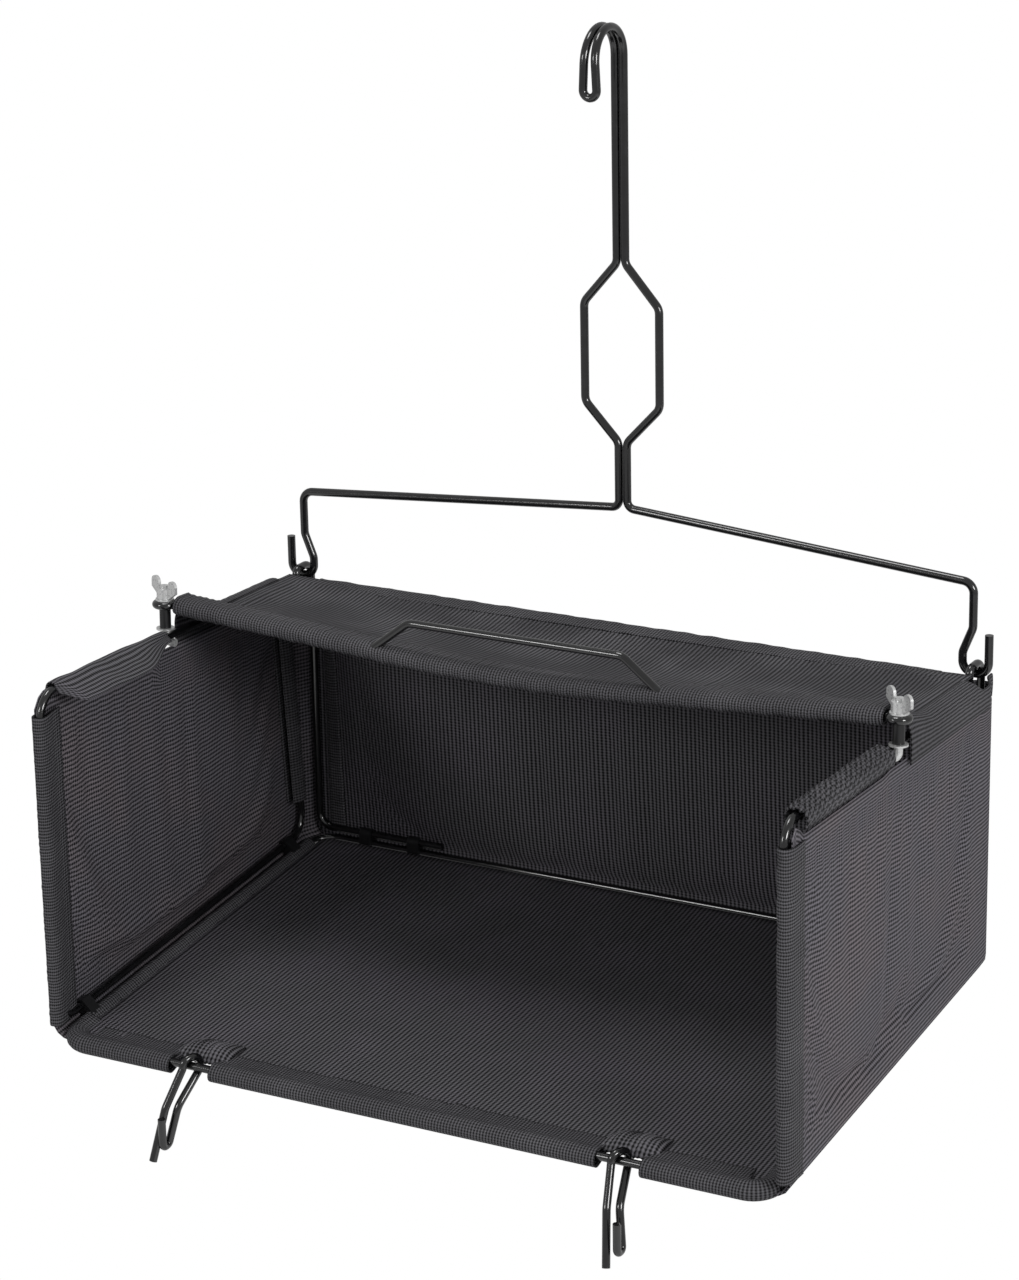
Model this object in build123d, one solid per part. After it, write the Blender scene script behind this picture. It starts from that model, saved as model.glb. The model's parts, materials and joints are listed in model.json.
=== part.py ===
from build123d import *
from math import atan2, cos, hypot, sin
import os

# Folding hanging basket: a bent-wire hanger, a wire-framed mesh basket that hangs from it
# by two eyes, and a half hood clamped to the side rails by two wing nuts.
# Frame: origin at the inside of the hanger's top hook, +Z up, -Y towards the open front.

# ---- Driving sizes, in millimetres ----
frame_wire = 4.8              # coated rod of the basket frames
hanger_wire = 5.0             # coated rod of the hanger
basket_width = 450            # left side rail to right side rail, between centres
basket_depth = 290            # front wire to rear frame, between centres
front_height = 200            # front wire up to the rear rail
floor_rise = 25               # the floor's rear edge above its front edge
rail_rise = 9                 # the side rails' front ends above the rear rail
rail_drop = 360               # top hook down to the rear rail

# Hanger
hook_radius = 18.5            # bend of the top hook, to the wire's centre
nose_drop = 35                # top hook's crown down to its nose
nose_width = 9                # between the strands at the hook's closed nose
strand_gap = 0.4              # between the two strands of the shank
window_width = 49
window_shoulder = 25          # upper slant of the window
window_side = 60
window_foot = 23              # lower slant of the window
neck_length = 40
arm_fall = 17                 # neck down to the arms' outer ends
arm_rise = 54                 # arms' outer ends above the eye hooks
dog_leg = 6                   # each end leg steps inward by this much
dog_leg_height = 15
dog_leg_lift = 12             # lower bend of the dog leg above the eye hook
eye_hook_width = 16           # inner leg to upturned tip, between centres
tip_rise = 24                 # tip above the eye hook
eye_hook_bend = 7
arm_bend = 7
neck_bend = 5
window_bend = 8
bend_play = 0.1               # straight wire left between two bends of one turn

# Eyes at the rear top corners
eye_width = 18
eye_rise = 8.5
eye_front_bend = 4
eye_rear_bend = 8
eye_clearance = 0.4

# Basket frames
frame_bend = 15               # corner bend of the loops, to the wire's centre
foot_bend = 10
rear_foot = 90                # rear frame's foot, lying on the floor frame's rear wire
hinge_stack = 6.5             # floor frame's wire up to the hinged wire above it
hinge_out = 6                 # side frames stand this far outside the floor frame
side_front_setback = 4        # side frame's front edge behind the front wire
side_rear_setback = 11        # side frame's rear edge in front of the rear frame
clip_wall = 1.0
clip_length = 8
clip_clearance = 0.15
clip_inset = 31               # side clips' centres to the ends of the side
foot_clip_inset = 35          # rear clips' centres to the corner and to each other

# Hood bar and its clamps
bar_setback = 142             # front wire back to the hood bar
handle_span = 138             # between the handle's top corners
handle_foot_span = 190
handle_rise = 20
bar_dip = 9                   # ends of the bar down to the handle's feet
handle_bend = 9
bolt_diameter = 5.0
bolt_clearance = 0.3          # bolt beside and under the rail, and in the bar's eye
toe_reach = 1.5               # the toe reaches this far past the rail's centre
bolt_bend = 4
washer_diameter = 11
washer_thickness = 1.0
sleeve_diameter = 6.8
sleeve_length = 12
running_clearance = 0.1       # round the bolt
seat_gap = 0.1                # between the clamped pieces
nut_diameter = 9.5
nut_height = 6
wing_span = 26
wing_height = 12
wing_thickness = 1.8
wing_top_radius = 3.5
thread_end = 2                # bolt standing out of the nut
left_nut_angle = -25
right_nut_angle = -37

# Front hooks
hook_wire = 4.6
hook_place = 137              # from the middle of the front wire
hook_slot = 25                # opening in the front hem round each hook
hook_clearance = 0.5          # round the front wire
hook_strand_offset = 5.2      # side by side, between centres
hook_splay = 8                # how far the tips lean outward
prong_drop = 50
prong_reach = 28              # the tip stands this far in front of the front wire
hook_shoulder_drop = 20
hook_shoulder_reach = 19
loop_drop = 42
loop_return_drop = 24
loop_width = 6
hook_bend = 12
hook_turn = 3                 # small bends each side of the arch

# Mesh fabric
fabric_thickness = 1.0
fabric_clearance = 0.3
hem_width = 18
hem_wall = 0.9
rolled_hem_diameter = 4
rolled_hem_lift = -1          # roll's centre against the floor's
slot_depth = 14
side_panel_lift = 6.5         # side panel's lower edge above the hinged wire
toe_notch_play = 1            # under the toe, in the notch of the side panel
hood_clearance = 14           # bare rail on each side of a clamp
hood_travel = 60              # how far the hood bar slides back
bar_hem_end_gap = 16          # clamp to the hem on the hood bar
hood_tuck = 1                 # hood's front edge below the hood bar's lowest stretch

# ---- Places worked out from the sizes ----
half_width = basket_width / 2
slope = atan2(floor_rise, basket_depth)
floor_length = hypot(floor_rise, basket_depth)
eye_y = hook_radius
rear_y = eye_y + eye_width / 2
rear_rail_y = eye_y - eye_width / 2
front_y = rear_y - basket_depth
rail_z = -rail_drop
front_z = rail_z - front_height
rear_z = front_z + floor_rise
rear_foot_z = rear_z + hinge_stack
side_x = half_width + hinge_out
wire_radius = frame_wire / 2
hem_radius = wire_radius + fabric_clearance + hem_wall
clip_radius = wire_radius + clip_clearance + clip_wall
eye_hook_z = rail_z + eye_rise - wire_radius - eye_clearance - hanger_wire / 2
floor_up = Vector(0, -sin(slope), cos(slope))
floor_plane = Plane(origin=(0, front_y, front_z), x_dir=(1, 0, 0), z_dir=floor_up)

# Side rail: from its front end it falls towards the rear
rail_slope = atan2(rail_rise, basket_depth - side_front_setback - side_rear_setback - eye_width / 2)
hinge_front = floor_plane.from_local_coords(Vector(0, side_front_setback, hinge_stack))
rail_front = Vector(0, hinge_front.Y, rail_z + rail_rise)
rail_back = Vector(0, cos(rail_slope), -sin(rail_slope))
rail_up = Vector(0, sin(rail_slope), cos(rail_slope))
bar_place = rail_front + rail_back * (bar_setback - side_front_setback)
clamp_plane = Plane(origin=bar_place, x_dir=(1, 0, 0), z_dir=rail_up)

# Clamp stack, as heights above the rail's centre
bolt_x = side_x + wire_radius + bolt_clearance + bolt_diameter / 2
toe_height = -wire_radius - bolt_clearance - bolt_diameter / 2
lower_washer_height = wire_radius + seat_gap
sleeve_height = lower_washer_height + washer_thickness + seat_gap
bar_height = sleeve_height + sleeve_length + seat_gap + wire_radius
upper_washer_height = bar_height + wire_radius + seat_gap
nut_seat_height = upper_washer_height + washer_thickness + seat_gap
bar_eye_radius = bolt_diameter / 2 + bolt_clearance + wire_radius
bar_end_x = bolt_x - bar_eye_radius
handle_foot_height = bar_height - bar_dip

sides = {"left": -1, "right": 1}


def rod_along(path, diameter):
    """A round rod whose centre follows the path."""
    start = Plane(origin=path @ 0, z_dir=path % 0)
    return sweep(start * Circle(diameter / 2), path=path)


def hem_along(start, end):
    """A fabric sleeve sewn round a straight stretch of frame wire."""
    path = Line(start, end)
    section = Circle(hem_radius) - Circle(hem_radius - hem_wall)
    return sweep(Plane(origin=path @ 0, z_dir=path % 0) * section, path=path)


def on_floor(x, back, up=0.0):
    """A point given across the floor, back along it from the front wire, and above it."""
    return floor_plane.from_local_coords(Vector(x, back, up))


def on_rail(x, back):
    """A point on the centre line of the side rails, back from their front ends."""
    return rail_front + rail_back * back + Vector(x, 0, 0)


def slab(plane, outline, thickness):
    """A flat sheet, centred on the plane."""
    return extrude(plane * outline, amount=thickness / 2, both=True)


def ring(outer_diameter, length, x, height):
    """A washer or sleeve on the clamp's bolt, from a height above the rail."""
    section = Circle(outer_diameter / 2) - Circle(bolt_diameter / 2 + running_clearance)
    return clamp_plane * Pos(x, 0, height) * extrude(section, amount=length)


def write(name, *pieces):
    """Writes one node to its own file."""
    solids = [solid for piece in pieces for solid in piece.solids()]
    node = solids[0] if len(solids) == 1 else Compound(children=solids)
    node.label = name
    export_step(node, f"parts/{name}.step")


# ---- Hanger: one wire, doubled along its shank ----
def make_hanger():
    strand = (hanger_wire + strand_gap) / 2
    nose = nose_width / 2
    window = window_width / 2
    crown_z = hanger_wire / 2
    crown_bend = hook_radius - bend_play
    arm_z = eye_hook_z + arm_rise
    neck_bottom = arm_z + arm_fall
    neck_top = neck_bottom + neck_length
    window_bottom = neck_top + window_foot
    window_top = window_bottom + window_side
    split = window_top + window_shoulder
    dog_leg_bottom = eye_hook_z + dog_leg_lift
    inner_leg = half_width - eye_hook_width / 2
    tip = half_width + eye_hook_width / 2
    leg = inner_leg + dog_leg
    corners = [
        ((tip, eye_y, eye_hook_z), eye_hook_bend),
        ((inner_leg, eye_y, eye_hook_z), eye_hook_bend),
        ((inner_leg, eye_y, dog_leg_bottom), window_bend),
        ((leg, eye_y, dog_leg_bottom + dog_leg_height), window_bend),
        ((leg, eye_y, arm_z), arm_bend),
        ((strand, eye_y, neck_bottom), neck_bend),
        ((strand, eye_y, neck_top), window_bend),
        ((window, eye_y, window_bottom), window_bend),
        ((window, eye_y, window_top), window_bend),
        ((strand, eye_y, split), window_bend),
        ((strand, eye_y, crown_z), crown_bend),
        ((strand, -hook_radius, crown_z), crown_bend),
        ((nose, -hook_radius, -nose_drop), nose - bend_play),
    ]
    right = [(tip, eye_y, eye_hook_z + tip_rise)] + [point for point, bend in corners]
    left = [(-x, y, z) for x, y, z in reversed(right)]
    bends = [bend for point, bend in corners]
    path = FilletPolyline(*right, *left, radius=bends + bends[::-1])
    return rod_along(path, hanger_wire)


# ---- Floor frame and rear frame ----
def make_floor_frame():
    centre = Pos(0, floor_length / 2)
    outline = floor_plane * centre * RectangleRounded(basket_width, floor_length, frame_bend)
    return rod_along(outline.wire(), frame_wire)


def make_rear_frame():
    """Feet on the floor frame, uprights, an eye at each top corner and the rear rail."""
    eye_top = rail_z + eye_rise
    corners = [
        ((half_width, rear_y, rear_foot_z), foot_bend),
        ((half_width, rear_y, eye_top), eye_rear_bend),
        ((half_width, rear_rail_y, eye_top), eye_front_bend),
        ((half_width, rear_rail_y, rail_z), eye_front_bend),
    ]
    right = [(half_width - rear_foot, rear_y, rear_foot_z)] + [point for point, bend in corners]
    left = [(-x, y, z) for x, y, z in reversed(right)]
    bends = [bend for point, bend in corners]
    return rod_along(FilletPolyline(*right, *left, radius=bends + bends[::-1]), frame_wire)


# ---- Side frames, hinged on the floor frame's side wires ----
def side_corners():
    """The side frame's corners as (y, z): front bottom, rear bottom, rear top, front top."""
    front_bottom = hinge_front
    rear_bottom = on_floor(0, floor_length - side_rear_setback, hinge_stack)
    rear_height = (rail_front - rear_bottom).dot(rail_up) / floor_up.dot(rail_up)
    rear_top = rear_bottom + floor_up * rear_height
    return [
        (front_bottom.Y, front_bottom.Z),
        (rear_bottom.Y, rear_bottom.Z),
        (rear_top.Y, rear_top.Z),
        (rail_front.Y, rail_front.Z),
    ]


def side_plane(x):
    """Plane across the basket's width at x, with Y and Z as its own axes."""
    return Plane(origin=(x, 0, 0), x_dir=(0, 1, 0), z_dir=(1, 0, 0))


def make_side_frame(side):
    outline = Polygon(*side_corners(), align=None)
    rounded = side_plane(side * side_x) * fillet(outline.vertices(), frame_bend)
    return rod_along(rounded.wire(), frame_wire)


def clip_section(across, up):
    """Formed clip round two wires, seen along the wires, with the second one across and up."""
    hole = Circle(wire_radius + clip_clearance)
    body = make_hull(Circle(clip_radius).edges() + (Pos(across, up) * Circle(clip_radius)).edges())
    return body - hole - Pos(across, up) * hole


def make_side_clips(side):
    clips = []
    for place in (clip_inset, floor_length - clip_inset):
        plane = Plane(on_floor(side * half_width, place), x_dir=(1, 0, 0), z_dir=-floor_plane.y_dir)
        clips.append(slab(plane, clip_section(side * hinge_out, hinge_stack), clip_length))
    return clips


def make_rear_clips():
    places = [half_width - foot_clip_inset, half_width - 2 * foot_clip_inset]
    clips = []
    for x in [side * place for side in (-1, 1) for place in places]:
        plane = Plane(origin=(x, rear_y, rear_z), x_dir=(0, 1, 0), z_dir=(1, 0, 0))
        clips.append(slab(plane, clip_section(0, hinge_stack), clip_length))
    return clips


# ---- Hood bar with its handle, and the clamp at each end ----
def make_hood_bar():
    right = [
        (bar_end_x, 0, bar_height),
        (handle_foot_span / 2, 0, handle_foot_height),
        (handle_span / 2, 0, handle_foot_height + handle_rise),
    ]
    left = [(-x, y, z) for x, y, z in reversed(right)]
    bar = rod_along(FilletPolyline(*right, *left, radius=handle_bend), frame_wire)
    for side in sides.values():
        bar += Pos(side * bolt_x, 0, bar_height) * Torus(bar_eye_radius, wire_radius)
    return clamp_plane * bar


def make_hook_bolt(side):
    """Shank outside the rail, with a toe turned in under it."""
    path = FilletPolyline(
        (side * (side_x - toe_reach), 0, toe_height),
        (side * bolt_x, 0, toe_height),
        (side * bolt_x, 0, nut_seat_height + nut_height + thread_end),
        radius=bolt_bend,
    )
    return clamp_plane * rod_along(path, bolt_diameter)


def make_washers(side):
    heights = (lower_washer_height, upper_washer_height)
    return [ring(washer_diameter, washer_thickness, side * bolt_x, height) for height in heights]


def make_clamp_sleeve(side):
    return ring(sleeve_diameter, sleeve_length, side * bolt_x, sleeve_height)


def make_wing_nut(side, angle):
    """Round boss with two wings that rise outward from it."""
    half_span = wing_span / 2
    wing = Polygon(
        (0, 0),
        (nut_diameter / 2, 0),
        (half_span, wing_height - 2 * wing_top_radius),
        (half_span, wing_height),
        (half_span - 2 * wing_top_radius, wing_height),
        (nut_diameter / 2, nut_height),
        (0, nut_height),
        align=None,
    )
    top = wing.vertices().sort_by(Axis.Y)[-2:]
    wing = fillet(top, wing_top_radius - bend_play)
    wings = extrude(Plane.XZ * wing, amount=wing_thickness / 2, both=True)
    wings += mirror(wings, about=Plane.YZ)
    boss = extrude(Circle(nut_diameter / 2), amount=nut_height)
    bore = extrude(Circle(bolt_diameter / 2 + running_clearance), amount=wing_height)
    return clamp_plane * Pos(side * bolt_x, 0, nut_seat_height) * Rot(0, 0, angle) * (wings + boss - bore)


# ---- Front hooks, hanging on the front wire ----
def make_front_hook(side):
    """One wire over the front wire: a prong in front, and a strand ending in a loop behind."""
    arch = wire_radius + hook_clearance + hook_wire / 2
    prong_x = side * hook_place - hook_strand_offset / 2
    loop_x = side * hook_place + hook_strand_offset / 2
    splay = side * hook_splay
    shoulder_y = front_y - hook_shoulder_reach
    shoulder_z = front_z - hook_shoulder_drop
    arch_bend = arch - hook_clearance
    loop_bend = loop_width / 2 - bend_play
    path = FilletPolyline(
        (prong_x + splay, front_y - prong_reach, front_z - prong_drop),
        (prong_x + splay / 2, shoulder_y, shoulder_z),
        (prong_x, front_y - arch, front_z),
        (prong_x, front_y - arch, front_z + arch),
        (loop_x, front_y + arch, front_z + arch),
        (loop_x, front_y + arch, front_z - wire_radius),
        (loop_x + splay / 2, shoulder_y + arch, shoulder_z),
        (loop_x + splay, shoulder_y, front_z - loop_drop),
        (loop_x + splay, shoulder_y - loop_width, front_z - loop_drop),
        (loop_x + splay, shoulder_y - loop_width, front_z - loop_return_drop),
        radius=[hook_bend, hook_turn, arch_bend, arch_bend, hook_turn, hook_bend, loop_bend, loop_bend],
    )
    return rod_along(path, hook_wire)


# ---- Mesh fabric: floor, back, sides and hood ----
def make_floor_panel():
    """Sheet inside the floor frame, cut away round the front hooks."""
    edge = half_width - clip_radius - 2 * fabric_clearance - rolled_hem_diameter
    front = hem_radius + fabric_clearance
    rear = floor_length - clip_radius - fabric_clearance
    outline = Pos(0, (front + rear) / 2) * RectangleRounded(2 * edge, rear - front, frame_bend)
    for side in sides.values():
        outline -= Pos(side * hook_place, front) * Rectangle(hook_slot, 2 * (slot_depth - front))
    return slab(floor_plane, outline, fabric_thickness)


def make_rolled_hem(side):
    """Rolled edge of the floor sheet beside the floor frame's side wire."""
    u = side * (half_width - clip_radius - fabric_clearance - rolled_hem_diameter / 2)
    start = on_floor(u, frame_bend, rolled_hem_lift)
    end = on_floor(u, floor_length - frame_bend, rolled_hem_lift)
    return rod_along(Line(start, end), rolled_hem_diameter)


def make_front_hem(low_x, high_x):
    return hem_along((low_x, front_y, front_z), (high_x, front_y, front_z))


def make_back_panel():
    """Sheet from under the rear rail down to the rear frame's feet."""
    top_z = rail_z - hem_radius - fabric_clearance
    bottom_z = rear_foot_z + clip_radius + fabric_clearance
    half_sheet = fabric_thickness / 2
    outline = Polygon(
        (rear_rail_y - half_sheet, top_z),
        (rear_rail_y + half_sheet, top_z),
        (rear_y + half_sheet, bottom_z),
        (rear_y - half_sheet, bottom_z),
        align=None,
    )
    half_sheet_width = half_width - foot_bend
    return extrude(side_plane(0) * outline, amount=half_sheet_width, both=True)


def make_side_panel(side):
    """Sheet in the side frame's plane, notched under the rail where the clamp's toe slides."""
    front_bottom, rear_bottom, rear_top, front_top = side_corners()
    front = front_bottom[0] + hem_width + fabric_clearance
    front_low = front_bottom[1] + (front - front_bottom[0]) * floor_rise / basket_depth
    lift = side_panel_lift * floor_up
    rear_margin = wire_radius + fabric_clearance
    top_margin = hem_radius + fabric_clearance
    outline = Polygon(
        (front, front_low + side_panel_lift),
        (rear_bottom[0] + lift.Y - rear_margin, rear_bottom[1] + lift.Z),
        (rear_top[0] - rear_margin, rear_top[1] - top_margin),
        (front, on_rail(0, hem_width).Z - top_margin),
        align=None,
    )
    outline = fillet(outline.vertices().sort_by(Axis.X)[-2:], frame_bend)
    notch_depth = bolt_diameter / 2 - toe_height + toe_notch_play
    notch_length = hood_travel + 2 * hood_clearance
    notch_centre = bar_place + rail_back * (hood_travel / 2)
    notch = Pos(notch_centre.Y, notch_centre.Z) * Rectangle(notch_length, 2 * notch_depth)
    return slab(side_plane(side * side_x), outline - notch, fabric_thickness)


def make_upright_hem(side):
    """Flat hem round the side frame's front upright."""
    front_bottom, rear_bottom, rear_top, front_top = side_corners()
    low = front_bottom[1] + frame_bend
    high = front_top[1] - frame_bend
    section = Circle(hem_radius) + Pos(0, hem_width / 2) * Rectangle(2 * hem_wall, hem_width)
    section -= Circle(hem_radius - hem_wall)
    place = Pos(side * side_x, front_bottom[0], low)
    return extrude(place * section, amount=high - low)


def make_rail_hems(side):
    """Fabric sleeves on the side rail, in front of the clamp and behind its travel."""
    x = side * side_x
    clamp = bar_setback - side_front_setback
    rear_end = (Vector(0, *side_corners()[2]) - rail_front).length - frame_bend
    return {
        "front": hem_along(on_rail(x, frame_bend), on_rail(x, clamp - hood_clearance)),
        "rear": hem_along(on_rail(x, clamp + hood_travel + hood_clearance), on_rail(x, rear_end)),
    }


def make_bar_hem(side):
    """Fabric sleeve on the hood bar between a clamp and the handle's foot."""
    run = bar_end_x - handle_foot_span / 2
    gap = bar_hem_end_gap / run
    start = Vector(side * bar_end_x, 0, bar_height)
    end = Vector(side * handle_foot_span / 2, 0, handle_foot_height)
    return clamp_plane * hem_along(start + (end - start) * gap, start + (end - start) * (1 - gap / 2))


def make_top_panel():
    """Hood sheet from the hood bar back to the rear rail."""
    front = bar_place.Y + hem_radius + fabric_clearance
    front_height = bar_place.Z + handle_foot_height - hood_tuck
    rear = rear_rail_y - hem_radius - fabric_clearance
    rear_height = rail_z + wire_radius
    half_sheet = fabric_thickness / 2
    outline = Polygon(
        (front, front_height - half_sheet),
        (rear, rear_height - half_sheet),
        (rear, rear_height + half_sheet),
        (front, front_height + half_sheet),
        align=None,
    )
    half_sheet_width = half_width - hem_radius - fabric_clearance
    return extrude(side_plane(0) * outline, amount=half_sheet_width, both=True)


os.makedirs("parts", exist_ok=True)

write("hanger", make_hanger())
write("floor_frame", make_floor_frame())
write("rear_frame", make_rear_frame())
write("rear_clips", *make_rear_clips())
write("hood_bar", make_hood_bar())
write("floor_panel", make_floor_panel())
write("back_panel", make_back_panel())
write("top_panel", make_top_panel())
hem_end = half_width - frame_bend
slot_inner = hook_place - hook_slot / 2
slot_outer = hook_place + hook_slot / 2
write("front_hem_left", make_front_hem(-hem_end, -slot_outer))
write("front_hem_middle", make_front_hem(-slot_inner, slot_inner))
write("front_hem_right", make_front_hem(slot_outer, hem_end))
rear_hem_end = half_width - eye_hook_width / 2 - 2 * hanger_wire
write("rear_rail_hem", hem_along((-rear_hem_end, rear_rail_y, rail_z), (rear_hem_end, rear_rail_y, rail_z)))

nut_angles = {"left": left_nut_angle, "right": right_nut_angle}
for name, side in sides.items():
    write(f"side_frame_{name}", make_side_frame(side))
    write(f"side_clips_{name}", *make_side_clips(side))
    write(f"hook_bolt_{name}", make_hook_bolt(side))
    write(f"washers_{name}", *make_washers(side))
    write(f"clamp_sleeve_{name}", make_clamp_sleeve(side))
    write(f"wing_nut_{name}", make_wing_nut(side, nut_angles[name]))
    write(f"front_hook_{name}", make_front_hook(side))
    write(f"rolled_hem_{name}", make_rolled_hem(side))
    write(f"side_panel_{name}", make_side_panel(side))
    write(f"upright_hem_{name}", make_upright_hem(side))
    write(f"bar_hem_{name}", make_bar_hem(side))
    for place, hem in make_rail_hems(side).items():
        write(f"rail_hem_{place}_{name}", hem)
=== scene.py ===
import json
import math
import bpy
from mathutils import Matrix, Vector, noise


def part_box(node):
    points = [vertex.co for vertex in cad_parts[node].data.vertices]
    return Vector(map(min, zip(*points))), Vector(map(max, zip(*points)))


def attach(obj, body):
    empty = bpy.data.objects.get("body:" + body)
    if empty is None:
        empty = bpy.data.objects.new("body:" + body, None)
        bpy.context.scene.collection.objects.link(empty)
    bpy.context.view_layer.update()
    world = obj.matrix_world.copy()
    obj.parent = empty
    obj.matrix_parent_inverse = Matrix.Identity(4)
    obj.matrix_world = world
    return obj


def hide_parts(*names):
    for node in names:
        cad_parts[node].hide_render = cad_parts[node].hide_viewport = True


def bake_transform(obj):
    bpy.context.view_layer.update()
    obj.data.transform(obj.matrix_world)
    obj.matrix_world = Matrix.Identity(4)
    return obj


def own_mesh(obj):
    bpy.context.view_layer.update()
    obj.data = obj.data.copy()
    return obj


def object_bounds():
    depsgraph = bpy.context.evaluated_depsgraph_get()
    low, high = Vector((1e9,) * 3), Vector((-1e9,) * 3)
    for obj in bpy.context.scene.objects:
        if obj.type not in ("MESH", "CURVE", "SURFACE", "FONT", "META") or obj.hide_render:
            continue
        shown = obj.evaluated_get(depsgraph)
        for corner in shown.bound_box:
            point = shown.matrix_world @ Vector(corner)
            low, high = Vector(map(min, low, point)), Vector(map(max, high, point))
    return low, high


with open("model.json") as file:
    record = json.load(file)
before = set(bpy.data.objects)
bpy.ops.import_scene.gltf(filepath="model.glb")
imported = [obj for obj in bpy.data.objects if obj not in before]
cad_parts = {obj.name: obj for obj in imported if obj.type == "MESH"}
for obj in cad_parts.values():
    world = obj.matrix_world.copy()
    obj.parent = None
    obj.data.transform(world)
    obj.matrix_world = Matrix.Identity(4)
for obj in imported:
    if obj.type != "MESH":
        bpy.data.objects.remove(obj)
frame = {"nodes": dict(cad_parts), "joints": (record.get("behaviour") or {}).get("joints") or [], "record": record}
cad_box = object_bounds()
bpy.ops.object.select_all(action="DESELECT")


# ---- Bent wires ----
# The hanger, the basket's frames, the hood bar and the front hooks are steel rod, bent cold and
# then powder coated. The coat is gloss black and a little thick, with a faint orange peel.
coat_black = "#0b0b0c"
coat_dust = "#17171a"
orange_peel = 0.0012             # metres between the coat's ripples
peel_depth = 0.0002
dust_patch = 0.00625             # metres across a patch of dust


def linear(hex_colour):
    """The linear colour of an sRGB hex value."""
    parts = [int(hex_colour[i:i + 2], 16) / 255 for i in (1, 3, 5)]
    return [c / 12.92 if c <= 0.04045 else ((c + 0.055) / 1.055) ** 2.4 for c in parts] + [1]


def add_node(material, kind, inputs, **settings):
    """Adds a node. Each input is a value, or the (node, output) that it is linked to."""
    tree = material.node_tree
    node = tree.nodes.new(kind)
    for name, value in settings.items():
        setattr(node, name, value)
    for socket, value in inputs.items():
        if isinstance(value, tuple) and isinstance(value[0], bpy.types.Node):
            tree.links.new(value[0].outputs[value[1]], node.inputs[socket])
        else:
            node.inputs[socket].default_value = value
    return node


def new_material(name):
    """An empty node material."""
    material = bpy.data.materials.new(name)
    material.use_nodes = True
    material.node_tree.nodes.clear()
    return material


def paint_nodes(material, names):
    """Gives CAD pieces their finish."""
    for name in names:
        piece = frame["nodes"][name]
        piece.data.materials.clear()
        piece.data.materials.append(material)


def nodes_in_slot(slot):
    """The CAD pieces that the record gives this finish."""
    return [part["node"] for part in frame["record"]["subparts"] if part["material_slot"] == slot]


# Gloss black powder coat on steel: deep black, with soft edges to its highlights.
powder_coat = new_material("gloss_black_powder_coat")
place = add_node(powder_coat, "ShaderNodeTexCoord", {})
peel = add_node(powder_coat, "ShaderNodeTexNoise", {
    "Vector": (place, "Object"), "Scale": 1 / orange_peel})
dust = add_node(powder_coat, "ShaderNodeTexNoise", {
    "Vector": (place, "Object"), "Scale": 1 / dust_patch, "Detail": 6.0})
dusty = add_node(powder_coat, "ShaderNodeMapRange", {
    "Value": (dust, "Fac"), "From Min": 0.5, "From Max": 0.8, "To Min": 0.0, "To Max": 1.0})
tone = add_node(powder_coat, "ShaderNodeMix", {
    "Factor": (dusty, "Result"), "A": linear(coat_black), "B": linear(coat_dust)},
    data_type="RGBA")
gloss = add_node(powder_coat, "ShaderNodeMapRange", {
    "Value": (dust, "Fac"), "To Min": 0.12, "To Max": 0.26})
bumps = add_node(powder_coat, "ShaderNodeBump", {
    "Height": (peel, "Fac"), "Strength": 0.12, "Distance": peel_depth})
coat = add_node(powder_coat, "ShaderNodeBsdfPrincipled", {
    "Base Color": (tone, "Result"), "Roughness": (gloss, "Result"), "Normal": (bumps, "Normal"),
    "Specular IOR Level": 0.6, "Coat Weight": 0.6, "Coat Roughness": 0.05})
add_node(powder_coat, "ShaderNodeOutputMaterial", {"Surface": (coat, "BSDF")})
paint_nodes(powder_coat, nodes_in_slot("black_wire"))


# ---- Clips ----
# Formed steel strips, closed round two wires to hinge one on the other. They are dipped black
# before they are closed, so the coat is thin and satin.
clip_black = "#141416"
brush_grain = 0.0004             # metres between the metal's brush marks
grain_depth = 0.0001

# Satin black dip on steel: soft wide highlights, with the metal's brushing just showing.
clip_coat = new_material("satin_black_dipped_steel")
place = add_node(clip_coat, "ShaderNodeTexCoord", {})
grain = add_node(clip_coat, "ShaderNodeTexNoise", {
    "Vector": (place, "Object"), "Scale": 1 / brush_grain})
bumps = add_node(clip_coat, "ShaderNodeBump", {
    "Height": (grain, "Fac"), "Strength": 0.2, "Distance": grain_depth})
dip = add_node(clip_coat, "ShaderNodeBsdfPrincipled", {
    "Base Color": linear(clip_black), "Roughness": 0.45, "Normal": (bumps, "Normal")})
add_node(clip_coat, "ShaderNodeOutputMaterial", {"Surface": (dip, "BSDF")})
paint_nodes(clip_coat, nodes_in_slot("clip_steel"))


# ---- Clamp hardware ----
# Wing nuts, washers and hook bolts are zinc-plated steel: cool and bright, with the cloudy grain
# that plating leaves. Each clamp's spacer sleeve is a short black tube.
zinc_light = "#f2f2f0"
zinc_dark = "#c4c5c7"
plating_cloud = 0.0015           # metres across a cloud in the plating
cloud_depth = 0.0001
sleeve_black = "#1a1a1b"

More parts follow.
